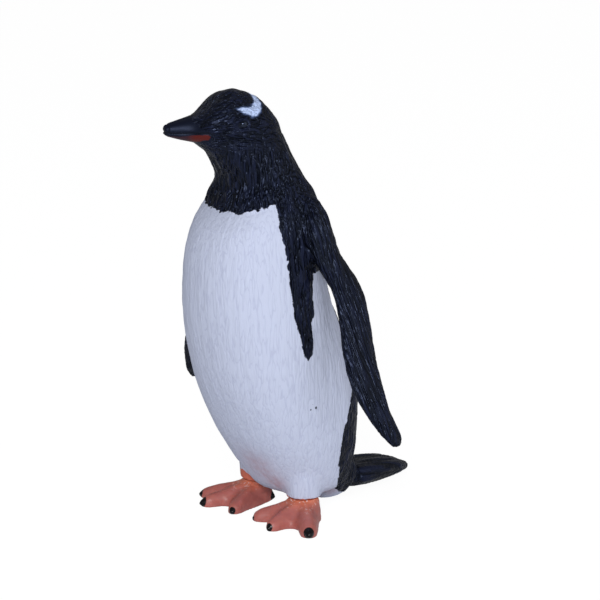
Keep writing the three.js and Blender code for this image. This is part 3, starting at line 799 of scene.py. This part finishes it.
eye_gloss, tree, surface = material("polished_black_acrylic")
place = add(tree, "ShaderNodeTexCoord", out="Object")
haze = add(tree, "ShaderNodeTexNoise", {"Vector": place, "Scale": 1 / (haze_patch * MM)}, "Fac")
haze = add(tree, "ShaderNodeMapRange", {
    "Value": haze, "From Min": 0.3, "From Max": 0.7, "To Min": 0.02, "To Max": 0.05})
tree.links.new(haze, surface.inputs["Roughness"])
smoke = add(tree, "ShaderNodeTexNoise", {"Vector": place, "Scale": 1 / (smoke_patch * MM)}, "Fac")
smoke = add(tree, "ShaderNodeMix", {
    "Factor": smoke, 6: linear(bead_black), 7: linear(bead_smoke)}, 2, data_type="RGBA")
tree.links.new(smoke, surface.inputs["Base Color"])
surface.inputs["IOR"].default_value = 1.49
surface.inputs["Specular Tint"].default_value = cool_gloss
surface.inputs["Specular IOR Level"].default_value = 0.62

for side, name in ((1, "eye_left"), (-1, "eye_right")):
    low_corner, high_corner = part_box(name)
    middle = np.array((low_corner + high_corner) / 2) / MM - [0, 0, bead_drop]
    out = side * head_left
    up = np.array([0.0, 0.0, 1.0])
    ahead = np.cross(up, out)
    rim_middle = middle + out * (socket_depth - bead_sunk)
    points, faces = [rim_middle + out * bead_dome], []
    for ring in range(1, bead_rings + 1):
        tilt = math.pi * ring / bead_rings
        in_front = tilt < math.pi / 2
        wide_share = math.sin(tilt) if in_front else max(math.sin(tilt), back_share)
        rise_out = (bead_dome if in_front else bead_back) * math.cos(tilt)
        for turn in range(bead_turns):
            angle = 2 * math.pi * turn / bead_turns
            spoke = ahead * math.cos(angle) + up * math.sin(angle)
            points.append(rim_middle + out * rise_out + spoke * bead_radius * wide_share)
    for turn in range(bead_turns):
        following = (turn + 1) % bead_turns
        faces.append((0, 1 + following, 1 + turn))
        for ring in range(bead_rings - 1):
            a, b = 1 + ring * bead_turns + turn, 1 + ring * bead_turns + following
            faces.append((a, b, b + bead_turns, a + bead_turns))
    last = 1 + (bead_rings - 1) * bead_turns
    faces.append(tuple(range(last, last + bead_turns)))
    bead = mesh_of(name + "_bead", np.array(points), faces)
    bead.shade_smooth()
    piece = bpy.data.objects.new(name + "_bead", bead)
    bpy.context.scene.collection.objects.link(piece)
    piece.data.materials.append(eye_gloss)
    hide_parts(name)
    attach(piece, "root")

# Feet: castings in salmon PVC, left bare but for their black claws, and pegged up into the legs.
# The three long toes show as soft ridges in the creased web, and light enters the soft plastic a
# little way. Pale pink-white specks dot the ankles.
foot_step = 0.22  # the side of a face
foot_rounds = 30
web_rounds = 110  # how long the web is softened, which fills the steps between the toes
web_fullness = 0.18
claws = {  # turn outwards in degrees, reach from the ankle, share of the largest claw
    "foot_left": [(-31, 10.3, 0.55), (11, 10.9, 0.75), (56, 12.9, 1.0), (-136, 3.8, 1.0)],
    "foot_right": [(-28, 11.0, 0.7), (14, 11.6, 0.9), (47, 11.0, 0.8), (-136, 3.8, 1.0)],
}
claw_half = np.array([1.05, 1.3, 1.15])
claw_back = 0.5  # from the tip to the middle of the claw
bare_salmon = "#b5675f"
deep_salmon = "#96504a"
warm_ankle = "#c66f55"
ankle_speck_white = "#e3cfd0"
claw_black = "#0b0a0d"
tone_patch = 1.6  # mm across, lighter and darker plastic
ankle_patch = 1.4
speck_size = 0.6
pebble_size = 0.45  # the fine unevenness of the moulded skin
pebble_height = 0.08

bare_pvc, tree, surface = material("moulded_salmon_pvc")
place = add(tree, "ShaderNodeTexCoord", out="Object")
tone = add(tree, "ShaderNodeTexNoise", {
    "Vector": place, "Scale": 1 / (tone_patch * MM), "Detail": 3.0}, "Fac")
tone = add(tree, "ShaderNodeMix", {
    "Factor": tone, 6: linear(bare_salmon), 7: linear(deep_salmon)}, 2, data_type="RGBA")
ankle = add(tree, "ShaderNodeAttribute", out="Fac", attribute_name="ankle")
warm = add(tree, "ShaderNodeTexNoise", {"Vector": place, "Scale": 1 / (ankle_patch * MM)}, "Fac")
warm = add(tree, "ShaderNodeMath", {0: warm, 1: 0.8, 2: -0.4}, operation="MULTIPLY_ADD")
warm = add(tree, "ShaderNodeMath", {0: ankle, 1: warm}, operation="ADD", use_clamp=True)
tone = add(tree, "ShaderNodeMix", {
    "Factor": warm, 6: tone, 7: linear(warm_ankle)}, 2, data_type="RGBA")
ankle_specks = add(tree, "ShaderNodeTexNoise", {
    "Vector": place, "Scale": 1 / (speck_size * MM), "Detail": 1.0}, "Fac")
ankle_specks = add(tree, "ShaderNodeMath", {
    0: ankle_specks, 1: 9.0, 2: -5.4}, operation="MULTIPLY_ADD", use_clamp=True)
ankle_specks = add(tree, "ShaderNodeMath", {0: ankle_specks, 1: ankle}, operation="MULTIPLY", use_clamp=True)
tone = add(tree, "ShaderNodeMix", {
    "Factor": ankle_specks, 6: tone, 7: linear(ankle_speck_white)}, 2, data_type="RGBA")
on_claw = add(tree, "ShaderNodeAttribute", out="Fac", attribute_name="claw")
on_claw = add(tree, "ShaderNodeMath", {
    0: on_claw, 1: 9.0, 2: 0.5}, operation="MULTIPLY_ADD", use_clamp=True)
tone = add(tree, "ShaderNodeMix", {
    "Factor": on_claw, 6: tone, 7: linear(claw_black)}, 2, data_type="RGBA")
tree.links.new(tone, surface.inputs["Base Color"])
gloss = add(tree, "ShaderNodeMapRange", {"Value": on_claw, "To Min": 0.45, "To Max": 0.22})
tree.links.new(gloss, surface.inputs["Roughness"])
shine = add(tree, "ShaderNodeMapRange", {"Value": on_claw, "To Min": 0.5, "To Max": 0.18})
tree.links.new(shine, surface.inputs["Specular IOR Level"])
surface.inputs["IOR"].default_value = 1.53
surface.inputs["Subsurface Weight"].default_value = 0.12
surface.inputs["Subsurface Scale"].default_value = 1.2 * MM
surface.inputs["Subsurface Radius"].default_value = (1.0, 0.35, 0.25)
pebbled = add(tree, "ShaderNodeTexNoise", {
    "Vector": place, "Scale": 1 / (pebble_size * MM), "Detail": 3.0}, "Fac")
pebbled = add(tree, "ShaderNodeBump", {
    "Strength": 0.3, "Distance": pebble_height * MM, "Height": pebbled})
tree.links.new(pebbled, surface.inputs["Normal"])

for side, name in ((1, "foot_left"), (-1, "foot_right")):
    points, quads = remeshed(name, [welded(name, 0.0)], foot_step)
    edges, _, _ = edges_of(quads)
    points = relaxed(points, edges, foot_rounds)
    upper = ramp(points[:, 2], 0.6, 1.8) * (1 - ramp(points[:, 2], 3.6, 4.6))
    points = softened(points, edges, web_rounds, 0.9 * upper)
    points = points + normals_of(points, quads) * (web_fullness * upper)[:, None]
    plan = (points - [side * stance_half, ankle_back, 0.0]) * [side, 1, 1]
    claw = np.full(len(points), far_outside)
    for turn, tip, size in claws[name]:
        angle = math.radians(turn)
        forward = np.array([math.sin(angle), -math.cos(angle), 0.0])
        sideways = np.array([math.cos(angle), math.sin(angle), 0.0])
        from_claw = plan - forward * (tip - claw_back) - [0, 0, size]
        spot = np.stack([from_claw @ sideways, from_claw @ forward, from_claw[:, 2]], axis=1)
        claw = np.maximum(claw, 1.0 - np.linalg.norm(spot / (claw_half * size), axis=1))
    soft = 0.10 * grain(points + 20.0, 2.4) + 0.05 * grain(points + 60.0, 0.9)
    soft = soft * ramp(points[:, 2], 0.1, 0.8) * ramp(-claw, -0.1, 0.2)
    points = points + normals_of(points, quads) * soft[:, None]
    if side < 0:
        points = points + leg_slip * ramp(points[:, 2], 1.5, 4.0)[:, None]
    points[:, 2] = np.maximum(points[:, 2], 0.0)
    sole = mesh_of(name + "_casting", points, quads.tolist())
    for label, value in {"claw": claw, "ankle": ramp(points[:, 2], 2.6, 4.8)}.items():
        held = sole.attributes.new(label, "FLOAT", "POINT")
        held.data.foreach_set("value", value.astype(np.float32))
    sole.shade_smooth()
    piece = bpy.data.objects.new(name + "_casting", sole)
    bpy.context.scene.collection.objects.link(piece)
    piece.data.materials.append(bare_pvc)
    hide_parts(name)
    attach(piece, "root")

# Studio: the penguin stands on a sheet of white paper in an even white room, with a lamp above the
# camera and a wide soft one on its right. The sheet shows white and keeps a soft shadow.
sheet_white = "#f4f5f7"
sheet_half = 3.0
sheet_glow = 1.06
glow_share = 0.9  # of what the camera sees; the rest is the sheet as the lamps light it
room_strength = 0.29
lamp_aim = 0.045  # half the penguin's height in m
lamps = {  # direction round and above the penguin in degrees, distance in m, width in m, watts
    "key": (46.0, 25.0, 1.1, 0.38, 7.8),
    "fill": (110.0, 20.0, 1.2, 1.30, 3.8),
}

floor_mesh = bpy.data.meshes.new("floor")
floor_mesh.from_pydata(
    [(x * sheet_half, y * sheet_half, 0.0) for x, y in ((-1, -1), (1, -1), (1, 1), (-1, 1))],
    [], [(0, 1, 2, 3)])
floor = bpy.data.objects.new("floor", floor_mesh)
bpy.context.scene.collection.objects.link(floor)
sheet, tree, surface = material("white_paper_sheet")
surface.inputs["Base Color"].default_value = linear(sheet_white)
surface.inputs["Roughness"].default_value = 0.9
glow = add(tree, "ShaderNodeEmission", {"Color": (1, 1, 1, 1), "Strength": sheet_glow})
seen = add(tree, "ShaderNodeLightPath", out="Is Camera Ray")
seen = add(tree, "ShaderNodeMath", {0: seen, 1: glow_share}, operation="MULTIPLY")
shown = add(tree, "ShaderNodeMixShader", {0: seen, 1: surface.outputs["BSDF"], 2: glow})
tree.links.new(shown, tree.nodes["Material Output"].inputs["Surface"])
floor_mesh.materials.append(sheet)
floor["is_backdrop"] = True

room = bpy.data.worlds.new("room")
room.use_nodes = True
tree = room.node_tree
seen = add(tree, "ShaderNodeLightPath", out="Is Camera Ray")
brightness = add(tree, "ShaderNodeMapRange", {
    "Value": seen, "To Min": room_strength, "To Max": 1.0})
tree.nodes["Background"].inputs["Color"].default_value = (1, 1, 1, 1)
tree.links.new(brightness, tree.nodes["Background"].inputs["Strength"])
bpy.context.scene.world = room

for name, (azimuth, elevation, distance, width, watts) in lamps.items():
    azimuth, elevation = math.radians(azimuth), math.radians(elevation)
    towards = Vector((
        math.sin(azimuth) * math.cos(elevation),
        -math.cos(azimuth) * math.cos(elevation),
        math.sin(elevation),
    ))
    lamp_data = bpy.data.lights.new(name, "AREA")
    lamp_data.energy = watts
    lamp_data.shape = "DISK"
    lamp_data.size = width
    lamp = bpy.data.objects.new(name, lamp_data)
    lamp.location = towards * distance + Vector((0, 0, lamp_aim))
    lamp.rotation_euler = towards.to_track_quat("Z", "Y").to_euler()
    bpy.context.scene.collection.objects.link(lamp)
bpy.context.scene.view_settings.view_transform = "Standard"

low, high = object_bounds()
